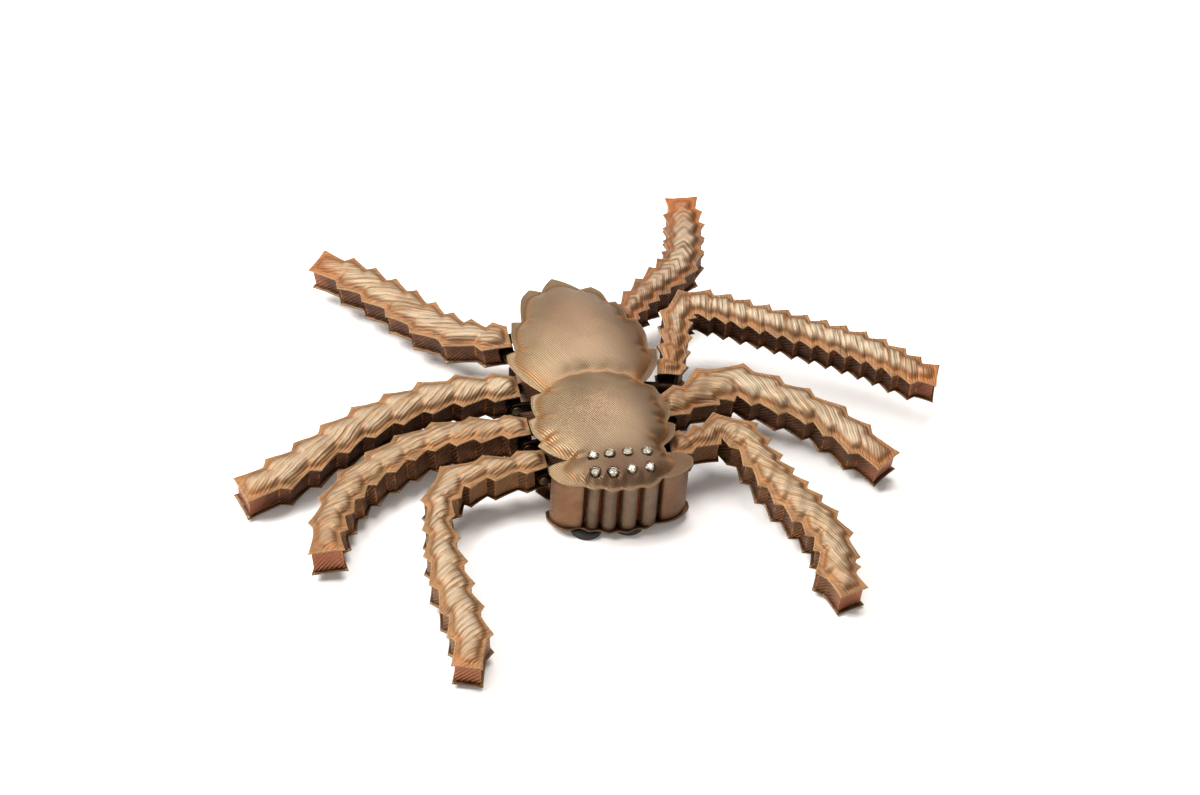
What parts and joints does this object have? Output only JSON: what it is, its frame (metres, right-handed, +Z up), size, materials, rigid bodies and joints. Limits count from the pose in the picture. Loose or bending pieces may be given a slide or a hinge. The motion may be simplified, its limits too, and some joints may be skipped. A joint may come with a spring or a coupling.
{
  "type": "tarantula sculpture",
  "caption": "Life-size tarantula in hollow sheet metal: domed twin-lobed shell, fluted wall, stone eyes, and bent saw-edged box legs on root hinges.",
  "frame": {"origin": "Middle of the whole outline in plan, at the table top that the rubber feet stand on.", "axes": "+Z up. The head looks along -Y and the tail along +Y. The left legs reach along -X and the right legs along +X."},
  "size_m": [0.283, 0.2403, 0.039],
  "materials": {
    "carapace": "patinated metal, fine twill texture, satin, tan grey with orange in the creases",
    "body_wall": "patinated metal, satin, grey on the crowns and copper in the grooves",
    "dark_plate": "dark brown patina with thin brassy edges",
    "leg_top": "copper brown patina worn to silver grey on the crests, ribbed",
    "leg_wall": "dark brown ribbed metal",
    "eye_tube": "plain tube settings, polished rim",
    "stone": "clear faceted stone",
    "pin": "bright pin",
    "rubber": "matt black"
  },
  "bodies": {
    "body": {"carapace_plate": "carapace", "body_wall": "body_wall", "belly_plate": "dark_plate", "eye_tube_1": "eye_tube", "eye_stone_1": "stone", "eye_tube_2": "eye_tube", "eye_stone_2": "stone", "eye_tube_3": "eye_tube", "eye_stone_3": "stone", "eye_tube_4": "eye_tube", "eye_stone_4": "stone", "eye_tube_5": "eye_tube", "eye_stone_5": "stone", "eye_tube_6": "eye_tube", "eye_stone_6": "stone", "eye_tube_7": "eye_tube", "eye_stone_7": "stone", "eye_tube_8": "eye_tube", "eye_stone_8": "stone", "rubber_foot_1": "rubber", "rubber_foot_2": "rubber", "rubber_foot_3": "rubber", "rubber_foot_4": "rubber", "left_1_hinge_pin": "pin", "left_2_hinge_pin": "pin", "left_3_hinge_pin": "pin", "left_4_hinge_pin": "pin", "right_1_hinge_pin": "pin", "right_2_hinge_pin": "pin", "right_3_hinge_pin": "pin", "right_4_hinge_pin": "pin"},
    "left rear leg": {"left_1_top_plate": "leg_top", "left_1_wall_band": "leg_wall", "left_1_bottom_plate": "dark_plate"},
    "left third leg": {"left_2_top_plate": "leg_top", "left_2_wall_band": "leg_wall", "left_2_bottom_plate": "dark_plate"},
    "left second leg": {"left_3_top_plate": "leg_top", "left_3_wall_band": "leg_wall", "left_3_bottom_plate": "dark_plate"},
    "left front leg": {"left_4_top_plate": "leg_top", "left_4_wall_band": "leg_wall", "left_4_bottom_plate": "dark_plate"},
    "right rear leg": {"right_1_top_plate": "leg_top", "right_1_wall_band": "leg_wall", "right_1_bottom_plate": "dark_plate"},
    "right third leg": {"right_2_top_plate": "leg_top", "right_2_wall_band": "leg_wall", "right_2_bottom_plate": "dark_plate"},
    "right second leg": {"right_3_top_plate": "leg_top", "right_3_wall_band": "leg_wall", "right_3_bottom_plate": "dark_plate"},
    "right front leg": {"right_4_top_plate": "leg_top", "right_4_wall_band": "leg_wall", "right_4_bottom_plate": "dark_plate"}
  },
  "joints": [
    {"name": "left rear leg lift", "type": "hinge", "parent": "body", "child": "left rear leg", "pos_m": [-0.02515, 0.05, 0.017], "axis": [-0.0266, 0.9903, 0.1366], "range_deg": [-5, 10]},
    {"name": "left third leg lift", "type": "hinge", "parent": "body", "child": "left third leg", "pos_m": [-0.02815, 0.0196, 0.017], "axis": [-0.0061, 0.9848, 0.1735], "range_deg": [0, 10]},
    {"name": "left second leg lift", "type": "hinge", "parent": "body", "child": "left second leg", "pos_m": [-0.02815, -0.0045, 0.017], "axis": [0.0064, 0.9986, -0.0519], "range_deg": [-1, 10]},
    {"name": "left front leg lift", "type": "hinge", "parent": "body", "child": "left front leg", "pos_m": [-0.02565, -0.0225, 0.017], "axis": [-0.0049, 0.9976, 0.0696], "range_deg": [-1, 10]},
    {"name": "right rear leg lift", "type": "hinge", "parent": "body", "child": "right rear leg", "pos_m": [0.02435, 0.056, 0.0175], "axis": [0.4386, -0.8906, -0.12], "range_deg": [-8, 10]},
    {"name": "right third leg lift", "type": "hinge", "parent": "body", "child": "right third leg", "pos_m": [0.03255, 0.0172, 0.0173], "axis": [0.9781, -0.2079, 0], "range_deg": [-8, 8]},
    {"name": "right second leg lift", "type": "hinge", "parent": "body", "child": "right second leg", "pos_m": [0.02835, 0.001, 0.017], "axis": [-0.0033, -0.9816, -0.1908], "range_deg": [-2, 10]},
    {"name": "right front leg lift", "type": "hinge", "parent": "body", "child": "right front leg", "pos_m": [0.02635, -0.0215, 0.017], "axis": [0, -0.9903, -0.1392], "range_deg": [-0.4, 10]}
  ]
}
